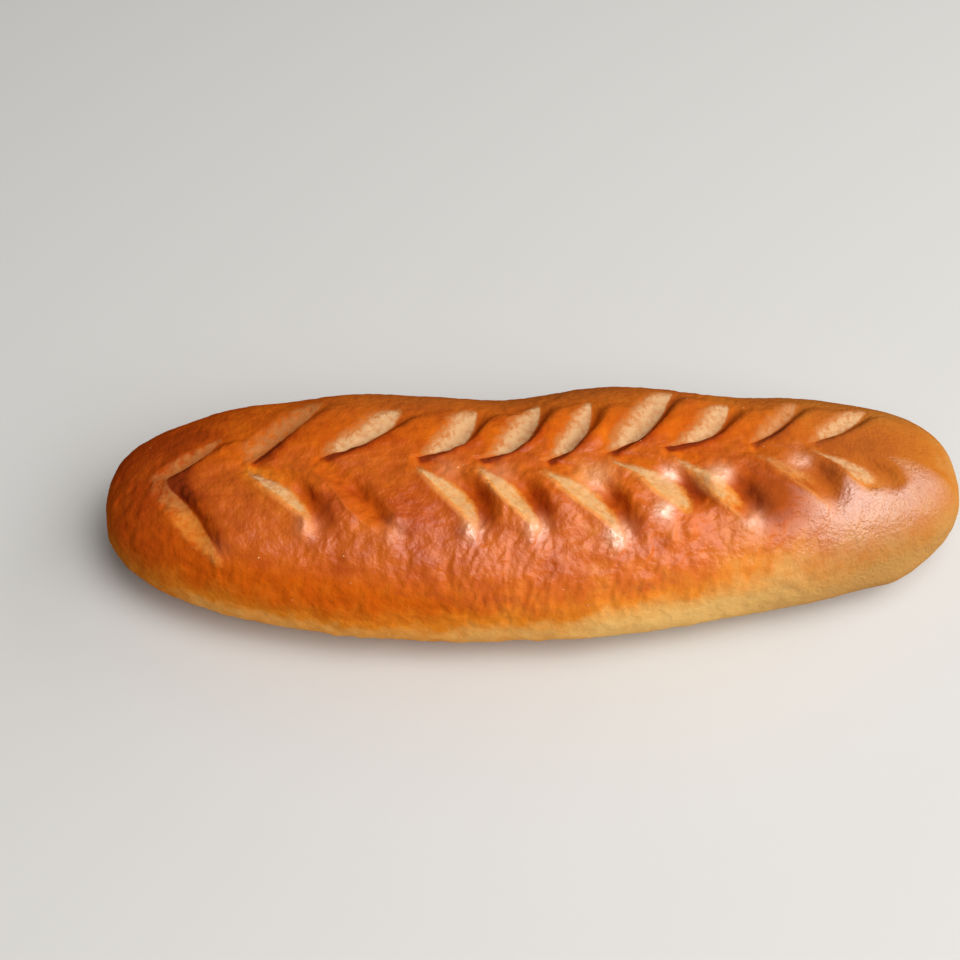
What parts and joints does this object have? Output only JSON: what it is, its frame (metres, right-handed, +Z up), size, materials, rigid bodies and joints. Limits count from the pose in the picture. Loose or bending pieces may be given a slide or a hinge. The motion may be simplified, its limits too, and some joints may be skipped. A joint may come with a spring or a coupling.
{
  "type": "glazed bread loaf with chevron cuts",
  "caption": "Long glossy golden-brown bread loaf with a row of open V-shaped cuts along its crown that look like a plait, domed ends and a flat base.",
  "frame": {"origin": "centre of the loaf's bounding box, on its flat base", "axes": "+X along the loaf, away from the points of the cuts and towards the paler end, +Y towards the back, +Z up"},
  "size_m": [0.32, 0.101, 0.0606],
  "materials": {
    "crust": "glossy egg-washed crust, golden at the right end and the base, dark brown at the left end, pale and matt in the opened cuts"
  },
  "bodies": {
    "root": {"loaf": "crust"}
  },
  "joints": []
}
